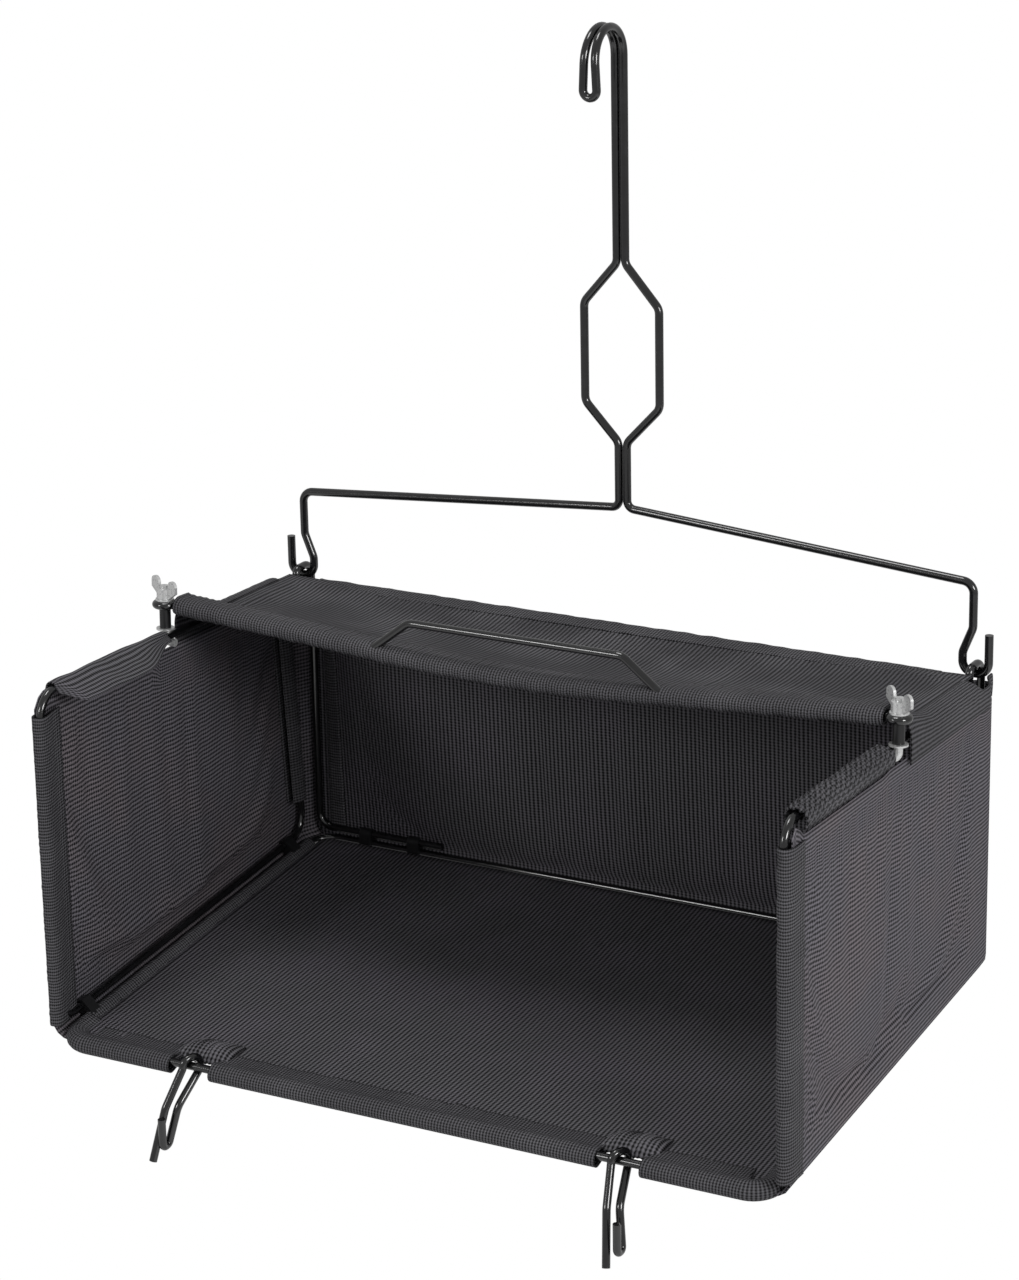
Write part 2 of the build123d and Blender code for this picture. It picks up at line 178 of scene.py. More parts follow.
# Bright zinc plate on steel: pale and cool, and half dulled by its clouds, so that it is only
# partly a mirror.
zinc = new_material("bright_zinc_plate")
place = add_node(zinc, "ShaderNodeTexCoord", {})
cloud = add_node(zinc, "ShaderNodeTexNoise", {
    "Vector": (place, "Object"), "Scale": 1 / plating_cloud, "Detail": 4.0})
tone = add_node(zinc, "ShaderNodeMix", {
    "Factor": (cloud, "Fac"), "A": linear(zinc_dark), "B": linear(zinc_light)}, data_type="RGBA")
dull = add_node(zinc, "ShaderNodeMapRange", {
    "Value": (cloud, "Fac"), "To Min": 0.18, "To Max": 0.42})
bumps = add_node(zinc, "ShaderNodeBump", {
    "Height": (cloud, "Fac"), "Strength": 0.25, "Distance": cloud_depth})
plate = add_node(zinc, "ShaderNodeBsdfPrincipled", {
    "Base Color": (tone, "Result"), "Metallic": 0.6, "Roughness": (dull, "Result"),
    "Normal": (bumps, "Normal")})
add_node(zinc, "ShaderNodeOutputMaterial", {"Surface": (plate, "BSDF")})
paint_nodes(zinc, nodes_in_slot("zinc_hardware"))

# Satin black tube: smoother than the clips, with a faint grain.
sleeve_tube = new_material("satin_black_tube")
place = add_node(sleeve_tube, "ShaderNodeTexCoord", {})
grain = add_node(sleeve_tube, "ShaderNodeTexNoise", {
    "Vector": (place, "Object"), "Scale": 1 / brush_grain})
bumps = add_node(sleeve_tube, "ShaderNodeBump", {
    "Height": (grain, "Fac"), "Strength": 0.1, "Distance": grain_depth})
tube = add_node(sleeve_tube, "ShaderNodeBsdfPrincipled", {
    "Base Color": linear(sleeve_black), "Roughness": 0.35, "Normal": (bumps, "Normal")})
add_node(sleeve_tube, "ShaderNodeOutputMaterial", {"Surface": (tube, "BSDF")})
paint_nodes(sleeve_tube, nodes_in_slot("black_sleeve"))


# ---- Floor sheet ----
# Coarse ribbed mesh, woven from coated polyester yarn: thick ribs, bound by finer threads across
# them. It is stretched inside the floor frame, and cut away round the two front hooks.
rib_pitch = 0.00275
thread_pitch = 0.0019
thread_share = 0.36              # how much the threads show against the ribs
mesh_thickness = 0.0008
rib_height = 0.0008
mesh_shadow = "#08080a"
mesh_ridge = "#6b6a6e"
mesh_faded = "#726f76"
fade_size = 0.05                 # metres across a faded patch
cloth_cell = 0.0045
side_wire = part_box("side_frame_right")
wire_radius = (side_wire[1].x - side_wire[0].x) / 2
floor_low, floor_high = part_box("floor_frame")
half_width = floor_high.x - wire_radius
front_y = floor_low.y + wire_radius
front_z = floor_low.z + wire_radius
rear_y = floor_high.y - wire_radius
rear_z = floor_high.z - wire_radius
floor_sag = 0.005
floor_ripple = 0.0009
floor_ripple_size = 0.03
along_ribs = 0.4                 # ripples are longer along the ribs
side_inset = 0.0045
front_inset = 0.003
rear_inset = 0.0035
slot_width = 0.027
slot_depth = 0.014
hook_spacing = 0.274
hook_x = sum(corner.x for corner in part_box("floor_panel")) / 2 + hook_spacing / 2


def ribbed_mesh(name, shadow, ridge, faded, contrast, pitch=rib_pitch):
    """Ribs along V and threads along U, on a UV map in metres, with painted shade in their gaps."""
    material = new_material(name)
    flat = add_node(material, "ShaderNodeUVMap", {})
    place = add_node(material, "ShaderNodeTexCoord", {})
    # At a scale of 1, a wave texture's bands are pi / 10 metres apart.
    ribs = add_node(material, "ShaderNodeTexWave", {
        "Vector": (flat, "UV"), "Scale": math.pi / 10 / pitch, "Distortion": 0.5,
        "Detail Scale": 2.0}, wave_type="BANDS", bands_direction="X")
    threads = add_node(material, "ShaderNodeTexWave", {
        "Vector": (flat, "UV"), "Scale": math.pi / 10 / thread_pitch, "Distortion": 0.8,
        "Detail Scale": 2.0}, wave_type="BANDS", bands_direction="Y")
    weave = add_node(material, "ShaderNodeMix", {
        "Factor": thread_share, "A": (ribs, "Fac"), "B": (threads, "Fac")}, data_type="FLOAT")
    painted_shade_level = add_node(material, "ShaderNodeMapRange", {
        "Value": (weave, "Result"),
        "From Min": 0.5 - contrast / 2, "From Max": 0.5 + contrast / 2})
    cloud = add_node(material, "ShaderNodeTexNoise", {
        "Vector": (place, "Object"), "Scale": 1 / fade_size, "Detail": 3.0})
    fade = add_node(material, "ShaderNodeMapRange", {
        "Value": (cloud, "Fac"), "From Min": 0.42, "From Max": 0.66})
    top = add_node(material, "ShaderNodeMix", {
        "Factor": (fade, "Result"), "A": linear(ridge), "B": linear(faded)}, data_type="RGBA")
    # Painted shade: where the weave is low, between the ribs and threads, the colour goes to the shadow colour.
    tone = add_node(material, "ShaderNodeMix", {
        "Factor": (painted_shade_level, "Result"), "A": linear(shadow), "B": (top, "Result")},
        data_type="RGBA")
    bumps = add_node(material, "ShaderNodeBump", {
        "Height": (weave, "Result"), "Strength": 0.7, "Distance": rib_height})
    yarn = add_node(material, "ShaderNodeBsdfPrincipled", {
        "Base Color": (tone, "Result"), "Roughness": 0.7, "Normal": (bumps, "Normal"),
        "Specular IOR Level": 0.22})
    add_node(material, "ShaderNodeOutputMaterial", {"Surface": (yarn, "BSDF")})
    return material


def mix(a, b, share):
    """From a at share 0 to b at share 1."""
    return a + (b - a) * share


def pucker(x, y, size, seed=0.0):
    """A smooth random height from -1 to 1."""
    return noise.noise(Vector((x / size, y / size, seed)))


def floor_z(y):
    """Height of the floor's plane."""
    return mix(front_z, rear_z, (y - front_y) / (rear_y - front_y))


def cloth(name, width, length, place, cell=cloth_cell, ribs_across=False):
    """A sheet of mesh: a flat grid with its UV map in metres, laid where place(u, v) says."""
    bpy.ops.object.select_all(action="DESELECT")
    bpy.ops.mesh.primitive_grid_add(
        x_subdivisions=max(3, round(width / cell)),
        y_subdivisions=max(3, round(length / cell)), size=1)
    piece = bpy.context.object
    piece.name = name
    for corner in piece.data.uv_layers.active.data:
        flat = (corner.uv.x * width, corner.uv.y * length)
        corner.uv = (flat[1], flat[0]) if ribs_across else flat
    for vertex in piece.data.vertices:
        vertex.co = place((vertex.co.x + 0.5) * width, (vertex.co.y + 0.5) * length)
    return piece


def sew(piece, material, thickness=mesh_thickness):
    """Gives cloth its thickness and finish."""
    bpy.ops.object.select_all(action="DESELECT")
    piece.select_set(True)
    bpy.context.view_layer.objects.active = piece
    wall = piece.modifiers.new("wall", "SOLIDIFY")
    wall.thickness = thickness
    wall.offset = 0
    bpy.ops.object.modifier_apply(modifier=wall.name)
    bpy.ops.object.shade_smooth()
    piece.data.materials.clear()
    piece.data.materials.append(material)


def cut_away(piece, inside):
    """Cuts out the cloth whose faces are inside."""
    bpy.context.view_layer.objects.active = piece
    bpy.ops.object.mode_set(mode="EDIT")
    bpy.ops.mesh.select_mode(type="FACE")
    bpy.ops.mesh.select_all(action="DESELECT")
    bpy.ops.object.mode_set(mode="OBJECT")
    for face in piece.data.polygons:
        face.select = inside(face.center)
    bpy.ops.object.mode_set(mode="EDIT")
    bpy.ops.mesh.delete(type="FACE")
    bpy.ops.object.mode_set(mode="OBJECT")


# Coated polyester mesh, woven in ribs: painted shade, near black, in the gaps, and dusty grey on top of the ribs.
inner_mesh = ribbed_mesh(
    "woven_ribbed_polyester_mesh", mesh_shadow, mesh_ridge, mesh_faded, contrast=0.62)
floor_edge = half_width - side_inset
floor_front = front_y + front_inset
floor_rear = rear_y - rear_inset
floor_slope = math.atan2(rear_z - front_z, rear_y - front_y)
floor_width = 2 * floor_edge
floor_length = (floor_rear - floor_front) / math.cos(floor_slope)


def floor_place(u, v):
    """The floor sags between its four edges."""
    x = u - floor_edge
    y = floor_front + v * math.cos(floor_slope)
    belly = math.sin(math.pi * u / floor_width) ** 0.7 * math.sin(math.pi * v / floor_length)
    ripple = floor_ripple * pucker(x, y * along_ribs, floor_ripple_size)
    return Vector((x, y, floor_z(y) - floor_sag * belly + ripple * belly ** 0.5))


floor_sheet = cloth("floor_sheet", floor_width, floor_length, floor_place)
cut_away(floor_sheet, lambda point: abs(abs(point.x) - hook_x) < slot_width / 2
         and point.y < front_y + slot_depth)
sew(floor_sheet, inner_mesh)
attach(floor_sheet, "basket")
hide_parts("floor_panel")


# ---- Rolled hems round the floor frame's side wires ----
# The floor sheet's side edges go round the floor frame's wires and are sewn through, so each is a
# lumpy cord of cloth beside the bare wire that the side folds on.
hem_shadow = "#060607"
hem_ridge = "#5f5e62"
hem_rib_pitch = 0.0019
fine_cell = 0.0018
roll_thickness = 0.0005
roll_lump = 0.10                 # as a share of the section
roll_lump_size = 0.009
roll_stitch = 0.05
roll_stitch_step = 0.0009
roll_section = [
    (-0.0070, -0.0010), (-0.0044, 0.0006), (-0.0022, 0.0028), (0.0006, 0.0034),
    (0.0032, 0.0010), (0.0028, -0.0024), (-0.0004, -0.0036), (-0.0036, -0.0026),
    (-0.0068, -0.0018)]
# The same mesh, sewn double: its ribs lie closer, with painted shade drawn as dark lines between them.
hem_mesh = ribbed_mesh(
    "sewn_double_mesh_hem", hem_shadow, hem_ridge, mesh_ridge, contrast=0.8, pitch=hem_rib_pitch)


def curve_point(points, share):
    """A point on the smooth curve through the points, from 0 at the first to 1 at the last."""
    run = min(max(share, 0), 1) * (len(points) - 1)
    i = min(int(run), len(points) - 2)
    t = run - i
    a, b, c, d = [Vector(points[min(max(i + k, 0), len(points) - 1)]) for k in (-1, 0, 1, 2)]
    return (2 * b + (c - a) * t + (2 * a - 5 * b + 4 * c - d) * t ** 2
            + (3 * b - a - 3 * c + d) * t ** 3) / 2


def curve_length(points):
    """Length of that curve."""
    steps = [curve_point(points, i / 40) for i in range(41)]
    return sum((b - a).length for a, b in zip(steps, steps[1:]))


for name, side in {"left": -1, "right": 1}.items():
    roll_low, roll_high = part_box(f"rolled_hem_{name}")

    def roll_place(u, v, side=side, low=roll_low):
        y = low.y + v
        step = curve_point(roll_section, u / curve_length(roll_section))
        lump = (1 + roll_lump * pucker(u, y, roll_lump_size, side)
                + roll_stitch * math.sin(y / roll_stitch_step))
        return Vector((side * (half_width + step.x * lump), y, floor_z(y) + step.y * lump))

    hem = cloth(f"rolled_floor_hem_{name}", curve_length(roll_section), roll_high.y - roll_low.y,
                roll_place, fine_cell, ribs_across=True)
    sew(hem, hem_mesh, roll_thickness)
    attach(hem, "basket")
    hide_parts(f"rolled_hem_{name}")


# ---- Front hem ----
# The floor sheet's front edge goes round the front wire and is sewn back on itself, so it hangs a
# little below the wire. Two slots leave the wire bare where the hooks ride on it.
hem_reach = 0.019
hem_hang = 0.0062
corner_bend = 0.015
corner_wrap = 0.034
corner_reach = 0.008
hem_cell = 0.0022
cut_waver = 0.0020               # the cut edge isn't straight
cut_waver_size = 0.012
hem_pucker = 0.0009
hem_pucker_size = 0.006
hem_pull = 0.0006
wire_reach = 0.0035              # over the wire the cloth is taut
free_run = 0.004
hem_section = [
    (hem_reach, 0.0006), (hem_reach * 0.7, 0.0010), (hem_reach * 0.35, 0.0016), (0.0010, 0.0033),
    (-0.0034, 0.0010), (-0.0042, -0.0030), (-0.0012, -hem_hang), (0.0035, -hem_hang * 0.95),
    (hem_reach * 0.5, -0.0035), (hem_reach * 0.9, -0.0018)]


def smooth_step(value):
    """0 below 0, 1 above 1, and smooth between."""
    t = min(max(value, 0), 1)
    return t * t * (3 - 2 * t)


def front_wire(run):
    """Place on the front wire, and the way in from it, at a run from its centre."""
    side = -1 if run < 0 else 1
    straight = half_width - corner_bend
    over = abs(run) - straight
    if over <= 0:
        return Vector((run, front_y)), Vector((0, 1))
    angle = min(over / corner_bend, math.pi / 2)
    past = max(over - corner_bend * math.pi / 2, 0)
    inward = Vector((-side * math.sin(angle), math.cos(angle)))
    centre = Vector((side * straight, front_y + corner_bend))
    return centre - inward * corner_bend + Vector((0, past)), inward


def front_hem_place(start, seed):
    """Places the hem's cloth: u goes round its section, and v along the front wire."""
    round_length = curve_length(hem_section)

    def place(u, v):
        run = start + v
        middle, inward = front_wire(run)
        step = curve_point(hem_section, u / round_length)
        reach = step.x if abs(run) < half_width - corner_bend else min(step.x, corner_reach)
        point = middle + inward * reach
        cut_edge = cut_waver * pucker(run, seed, cut_waver_size) * max(0, step.x / hem_reach) ** 2
        fold = min(0, hem_pucker * pucker(run, u * along_ribs, hem_pucker_size, seed) - hem_pull)
        fold *= smooth_step((abs(step.x) - wire_reach) / free_run)
        return Vector((point.x, point.y + cut_edge, floor_z(point.y) + step.y + fold))

    return place


slot_inner = hook_x - slot_width / 2
slot_outer = hook_x + slot_width / 2
hem_end = half_width - corner_bend + corner_wrap
for name, start, end, seed in (
        ("left", -hem_end, -slot_outer, 4), ("middle", -slot_inner, slot_inner, 6),
        ("right", slot_outer, hem_end, 5)):
    hem = cloth(f"front_hem_cloth_{name}", curve_length(hem_section), end - start,
                front_hem_place(start, seed), hem_cell, ribs_across=True)
    sew(hem, hem_mesh)
    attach(hem, "basket")
    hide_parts(f"front_hem_{name}")


# ---- Gathers behind the front hooks ----
# Above each hook the slot's cloth is folded back and tacked to the floor sheet, which leaves a
# small raised gather behind the hook's arch.
gather_width = 0.036
gather_depth = 0.022
gather_rise = 0.0055
gather_taper = 0.18
gather_drift = 0.003
gather_start = 0.0086            # behind the front wire
gather_lap = 0.0006
gather_tuck = 0.0045
gather_edge_share = 0.3
gather_pucker = 0.0013
gather_pucker_size = 0.0045
gather_stretch = 0.25
gather_lip = 0.15                # the arch starts this far up its curve
gather_crease = 0.0004
gather_crease_step = 0.0005
gather_cell = 0.0012
for name, side in {"left": -1, "right": 1}.items():

    def gather_place(u, v, side=side):
        share = v / gather_depth
        across = 1 - abs(2 * u / gather_width - 1) ** 4
        x = (side * hook_x + (u - gather_width / 2) * (1 - gather_taper * share)
             + gather_drift * share)
        y = front_y + gather_start + v
        arch = math.sin(math.pi * min(1, gather_lip + 0.85 * share)) ** 0.8
        up = gather_rise * arch - gather_tuck * (1 - share) ** 5
        crease = (gather_pucker * pucker(u, v * gather_stretch, gather_pucker_size, seed=side * 3)
                  + gather_crease * math.sin(u / gather_crease_step))
        raised = (up + crease) * mix(gather_edge_share, 1, across)
        return Vector((x, y, floor_z(y) - gather_lap + raised))

    gather = cloth(f"hook_gather_{name}", gather_width, gather_depth, gather_place, gather_cell)
    sew(gather, inner_mesh)
    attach(gather, "basket")
    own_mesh(gather)


# ---- Back sheet ----
# The floor's cloth goes on up behind the rear frame to the rear rail. Its sides are wrapped back
# round the uprights, and its top edge meets the hood over the rail.
rear_rail_low, rear_rail_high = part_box("rear_rail_hem")
rail_y = (rear_rail_low.y + rear_rail_high.y) / 2
rear_rail_z = (rear_rail_low.z + rear_rail_high.z) / 2
cloth_gap = 0.0004               # between a wire and the cloth over it
skin = wire_radius + mesh_thickness / 2 + cloth_gap
foot_skin = 0.0046
back_top = rear_rail_z - 0.002
back_bottom = rear_z - 0.0038
back_half = half_width + foot_skin
back_length = math.hypot(back_top - back_bottom, rear_y - rail_y)
upright_wrap = 0.036
eye_hook_x = 0.205
eye_hook_dip = 0.0035
eye_hook_slope = 0.01
back_ripple = 0.0007
back_ripple_size = 0.024
back_stretch = 0.3
held_edge = 0.012                # the width of cloth that its seams hold
back_slack = 0.006


def let_hang(piece, free, slack, frames=22):
    """Lets the cloth hang where free(point) says, with some slack, and holds it elsewhere.
    It is a stiff coated mesh, so it bends little."""
    held = piece.vertex_groups.new(name="held")
    for vertex in piece.data.vertices:
        held.add([vertex.index], 0.0 if free(vertex.co) else 1.0, "REPLACE")
    modifier = piece.modifiers.new("hang", "CLOTH")
    yarn = modifier.settings
    yarn.quality = 6
    yarn.mass = 0.25
    yarn.tension_stiffness = 25
    yarn.compression_stiffness = 12
    yarn.shear_stiffness = 6
    yarn.bending_stiffness = 1.2
    yarn.air_damping = 4
    yarn.shrink_min = -slack
    yarn.vertex_group_mass = "held"
    modifier.point_cache.frame_end = frames
    for step in range(1, frames + 1):
        bpy.context.scene.frame_set(step)
    bpy.context.view_layer.objects.active = piece
    bpy.ops.object.modifier_apply(modifier=modifier.name)
    bpy.context.scene.frame_set(1)
    piece.vertex_groups.clear()


def back_top_z(x):
    """The top edge dips at the corners, under the hanger's eye hooks."""
    return back_top - eye_hook_dip * smooth_step((abs(x) - eye_hook_x) / eye_hook_slope)


def back_place(u, v):
    """The back runs from the rail to the foot wire, and its sides lie against the uprights."""
    x = u - back_half
    share = v / back_length
    z = mix(back_top_z(x), back_bottom, share)
    sheet_y = mix(rail_y + skin, rear_y + foot_skin, share)
    wrapped = smooth_step((abs(x) - half_width + upright_wrap) / upright_wrap)
    y = mix(sheet_y, rear_y + foot_skin, wrapped)
    ripple = back_ripple * pucker(x, z * back_stretch, back_ripple_size, seed=4.0)
    return Vector((x, y + ripple * math.sin(math.pi * share), z))


back_sheet = cloth("back_sheet", 2 * back_half, back_length, back_place)
let_hang(back_sheet, lambda point: abs(point.x) < half_width - upright_wrap
         and back_bottom + held_edge < point.z < back_top - held_edge, back_slack)
sew(back_sheet, inner_mesh)
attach(back_sheet, "basket")
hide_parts("back_panel")


# ---- Hem on the rear rail ----
# Where the back meets the hood, both are folded over the rear rail and sewn below it, so that the
# rail lies hidden in a doubled strip of the mesh.
rail_hem_pucker = 0.0005
rail_hem_pucker_size = 0.008
rail_section = [
    (-0.013, 0.0036), (-0.006, 0.0042), (0.0, 0.0046), (0.0038, 0.0026),
    (0.0045, -0.0015), (0.0050, -0.0075), (0.0058, -0.0140)]


def rear_hem_place(u, v):
    """The section goes over the rail and down behind it, all along the rail."""
    step = curve_point(rail_section, u / curve_length(rail_section))
    x = rear_rail_low.x + v
    fold = rail_hem_pucker * pucker(x, u, rail_hem_pucker_size, seed=9.0)
    return Vector((x, rail_y + step.x, rear_rail_z + step.y + fold))


rear_hem = cloth("rear_rail_hem_cloth", curve_length(rail_section),
                 rear_rail_high.x - rear_rail_low.x, rear_hem_place, hem_cell, ribs_across=True)
sew(rear_hem, hem_mesh)
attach(rear_hem, "basket")
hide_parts("rear_rail_hem")


# ---- Bands on the back's side edges ----
# The back's side edges are turned in and sewn double beside the bare uprights, so that each ends
# in a narrow, darker band.
band_width = 0.011
band_ends = 0.010                # bare, above and below the band
band_inset = 0.0065
band_lift = 0.0012
band_pucker = 0.0005
band_pucker_size = 0.006
band_thickness = 0.0012
for name, side in {"left": -1, "right": 1}.items():

    def band_place(u, v, side=side):
        flat_x = half_width - band_inset - u
        point = back_place(back_half + side * flat_x, v + band_ends)
        fold = band_pucker * pucker(u, v, band_pucker_size, side)
        return point + Vector((0, -band_lift - fold, 0))

    band = cloth(f"back_band_{name}", band_width, back_length - 2 * band_ends, band_place,
                 hem_cell, ribs_across=True)
    sew(band, hem_mesh, band_thickness)
    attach(band, "basket")


# ---- Side sheets ----
# Each side is one sheet on the outside of its wire frame, with its ribs front to back. It turns in
# under the floor wire below, and behind the rear frame's upright at the back.
side_low, side_high = side_wire
side_x = (side_low.x + side_high.x) / 2
upright_y = side_low.y + wire_radius
side_skin = 0.0043
turn_width = 0.0115
turn_height = 0.0095
turn_rise = 0.006
turn_length = math.pi / 2 * math.hypot(turn_width, turn_height) / math.sqrt(2)
clamp_low, clamp_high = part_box("clamp_sleeve_right")
clamp_y = (clamp_low.y + clamp_high.y) / 2
toe_drop = 0.0092
toe_front = 0.018                # the toe's room starts this far before the clamp
toe_slope = 0.007
groove_drop = 0.0105
groove_start = 0.004
groove_slope = 0.012
pulled_share = 0.22
hook_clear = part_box("hanger")[0].z
hook_gap = 0.0019
hook_slope = 0.008
inset_start = 0.0165
inset_run = 0.0145
rear_flat = -0.012
side_wave = 0.0030
side_wave_size = 0.045
side_wave_stretch = 0.22
side_pucker = 0.0005
side_pucker_size = 0.012
side_held_edge = 0.020
side_slack = 0.010
outer_ridge = "#77747b"
outer_faded = "#7e777c"
outer_shadow = "#131316"
# The same mesh on the sides, as a lit copy: its ribs painted a paler, slightly purple grey.
outer_mesh = ribbed_mesh(
    "painted_lit_ribbed_polyester_mesh", outer_shadow, outer_ridge, outer_faded, contrast=0.68)
front_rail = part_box("rail_hem_front_right")
rear_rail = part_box("rail_hem_rear_right")
hem_radius = (front_rail[1].x - front_rail[0].x) / 2


def rail_z(y):
    """Height of the side rails, which fall towards the rear."""
    front = Vector((front_rail[0].y, front_rail[1].z - hem_radius))
    rear = Vector((rear_rail[1].y, rear_rail[0].z + hem_radius))
    return mix(front.y, rear.y, (y - front.x) / (rear.x - front.x))


def side_top_z(y):
    """Top edge of the side sheet: round at the front corner, and below the hanger's eye hooks."""
    into_corner = min(max(corner_bend - (y - upright_y), 0), corner_bend)
    rounded = corner_bend - math.sqrt(corner_bend ** 2 - into_corner ** 2)
    under_hook = mix(rail_z(y), hook_clear - hook_gap, smooth_step(y / hook_slope))
    return min(rail_z(y) - rounded, under_hook)


def toe_room(y, side):
    """How far the top is pulled down where the clamp's toe slides, and under the right sleeve."""
    clamp_part = smooth_step((y - clamp_y + toe_front) / toe_slope)
    if side < 0:
        return toe_drop * clamp_part
    groove_part = smooth_step((y - upright_y - groove_start) / groove_slope)
    return mix(groove_drop * groove_part, toe_drop, clamp_part)


side_front = upright_y + 0.001
side_rear = rear_y + foot_skin
side_height = rail_z(side_front) - front_z + 0.004
side_length = side_rear - side_front
for name, side in {"left": -1, "right": 1}.items():

    def side_place(u, v, side=side):
        y = side_front + u
        inset = (side_x - half_width) * smooth_step((y - inset_start) / inset_run)
        ground = floor_z(y)
        outer = side_x + side_skin - inset
        if v < turn_length:
            angle = (v / turn_length - 1) * math.pi / 2
            x = outer - turn_width * (1 - math.cos(angle))
            return Vector((side * x, y, ground + turn_rise + turn_height * math.sin(angle)))
        share = (v - turn_length) / (side_height - turn_length)
        z = mix(ground + turn_rise, side_top_z(y), share)
        z -= toe_room(y, side) * smooth_step((share - 1 + pulled_share) / pulled_share)
        along = (y - side_front) / (rear_flat - side_front)
        wave = (side_wave * pucker(y, z * side_wave_stretch, side_wave_size, seed=side * 3)
                + side_pucker * pucker(y, z, side_pucker_size, seed=side * 7))
        full = math.sin(math.pi * min(max(along, 0), 1)) ** 0.5 * math.sin(math.pi * share)
        return Vector((side * (outer + (wave - side_wave) * full), y, z))

    sheet = cloth(f"side_sheet_{name}", side_length, side_height, side_place, ribs_across=True)
    let_hang(sheet, lambda point: side_front + side_held_edge < point.y < rear_flat
             and floor_z(point.y) + side_held_edge < point.z
             < side_top_z(point.y) - side_held_edge, side_slack)
    sew(sheet, outer_mesh)
    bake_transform(sheet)
    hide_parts(f"side_panel_{name}")


# ---- Hems on the front uprights ----
# The side sheet's front edge goes round the upright and lies 20 mm back on the inside, sewn down
# along its cut edge.
fold_back = 0.020
upright_cell = 0.0024
upright_pucker = 0.0007
upright_pucker_size = 0.010
stitch_bump = 0.00025
stitch_step = 0.0007
over_front_hem = 0.0062          # its lower end stands on the front hem when the side folds
over_corner = 0.002
upright_section = [
    (0.0052, 0.0145), (0.0053, 0.0060), (0.0048, 0.0), (0.0026, -0.0036), (-0.0010, -0.0034),
    (-0.0028, -0.0004), (-0.0022, 0.0055), (-0.0006, 0.0115), (0.0008, fold_back)]
for name, side in {"left": -1, "right": 1}.items():
    hem_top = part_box(f"upright_hem_{name}")[1].z + over_corner
    hem_bottom = front_z + over_front_hem

    def upright_place(u, v, side=side, bottom=hem_bottom):
        step = curve_point(upright_section, u / curve_length(upright_section))
        z = bottom + v
        fold = (upright_pucker * pucker(z, u, upright_pucker_size, side)
                + stitch_bump * math.sin(z / stitch_step))
        return Vector((side * (side_x + step.x + max(fold, 0)), upright_y + step.y + fold, z))

    hem = cloth(f"upright_hem_cloth_{name}", curve_length(upright_section), hem_top - hem_bottom,
                upright_place, upright_cell, ribs_across=True)
    sew(hem, hem_mesh)
    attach(hem, f"side_{name}")
    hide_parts(f"upright_hem_{name}")


# ---- Hems on the rear uprights ----
# The side sheet's rear edge is folded round its frame's rear upright in the same way, but
# narrower, and only where the upright is straight.
rear_pucker = 0.0004
rear_pucker_size = 0.008
rear_stitch = 0.0002
rear_thickness = 0.0006
rear_straight_z = rear_z + 0.0205
rear_hem_bottom = rear_z + 0.028
rear_hem_top = rail_z(0.003) - 0.016
rear_section = [
    (0.0036, -0.0100), (0.0035, -0.0020), (0.0024, 0.0027), (-0.0008, 0.0035),
    (-0.0034, 0.0012), (-0.0032, -0.0040), (-0.0008, -0.0095)]
for name, side in {"left": -1, "right": 1}.items():

    def rear_hem_fold(u, v, side=side):
        step = curve_point(rear_section, u / curve_length(rear_section))
        z = rear_hem_bottom + v
        y = side_high.y - wire_radius - (z - rear_straight_z) * math.tan(floor_slope)
        fold = (rear_pucker * pucker(z, u, rear_pucker_size, side)
                + rear_stitch * math.sin(z / stitch_step))
        return Vector((side * (side_x + step.x + fold), y + step.y + fold, z))

    hem = cloth(f"rear_upright_hem_{name}", curve_length(rear_section),
                rear_hem_top - rear_hem_bottom, rear_hem_fold, hem_cell, ribs_across=True)
    sew(hem, hem_mesh, rear_thickness)
    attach(hem, f"side_{name}")


# ---- Sleeves on the side rails ----
# In front of each clamp the side sheet is turned over the rail. On the left its inner edge is a
# wide loose flap, and on the right it is drawn into a short gathered roll.
sleeve_start = upright_y + 0.0135
sleeve_end = clamp_y - 0.0095
sleeve_length = sleeve_end - sleeve_start
sleeve_cell = 0.0016
sleeve_pucker = 0.0009
sleeve_pucker_size = 0.010
sleeve_stretch = 0.5
tight_reach = 0.0030
tight_drop = 0.0040
flap_reach = 0.018
flap_drop = 0.0095
flap_slant = 0.012
flap_lead = 0.002
flap_top = 0.0030
flap_full_share = 0.62           # behind this share of its length the flap narrows
flap_end_share = 0.38
flap_narrowing = 0.85
roll_end_share = 0.75            # the gathered roll is flatter at its ends
gather_pitch = 0.0066
gather_height = 0.0011
gather_slant = 1.5
left_over = [(0.0052, -0.0115), (0.0053, -0.0030), (0.0032, 0.0031), (-0.0012, 0.0036)]
right_over = [
    (0.0030, -0.0130), (0.0031, -0.0090), (0.0072, -0.0052), (0.0066, 0.0018), (0.0016, 0.0052)]
right_inside = [(-0.0040, 0.0034), (-0.0054, -0.0020), (-0.0036, -0.0080)]


def sleeve_section(side, v):
    """The sleeve's section at a run along the rail."""
    if side > 0:
        full = mix(roll_end_share, 1, math.sin(math.pi * v / sleeve_length))
        return right_over[:2] + [(x, z * full) for x, z in right_over[2:]] + right_inside
    narrow = smooth_step((v / sleeve_length - flap_full_share) / flap_end_share)
    wide = smooth_step((v + flap_lead) / flap_slant) * (1 - flap_narrowing * narrow)
    reach = mix(tight_reach, flap_reach, wide)
    drop = mix(tight_drop, flap_drop, wide)
    return left_over + [
        (-reach * share, flap_top - drop * share ** 1.3) for share in (0.45, 0.75, 1.0)]


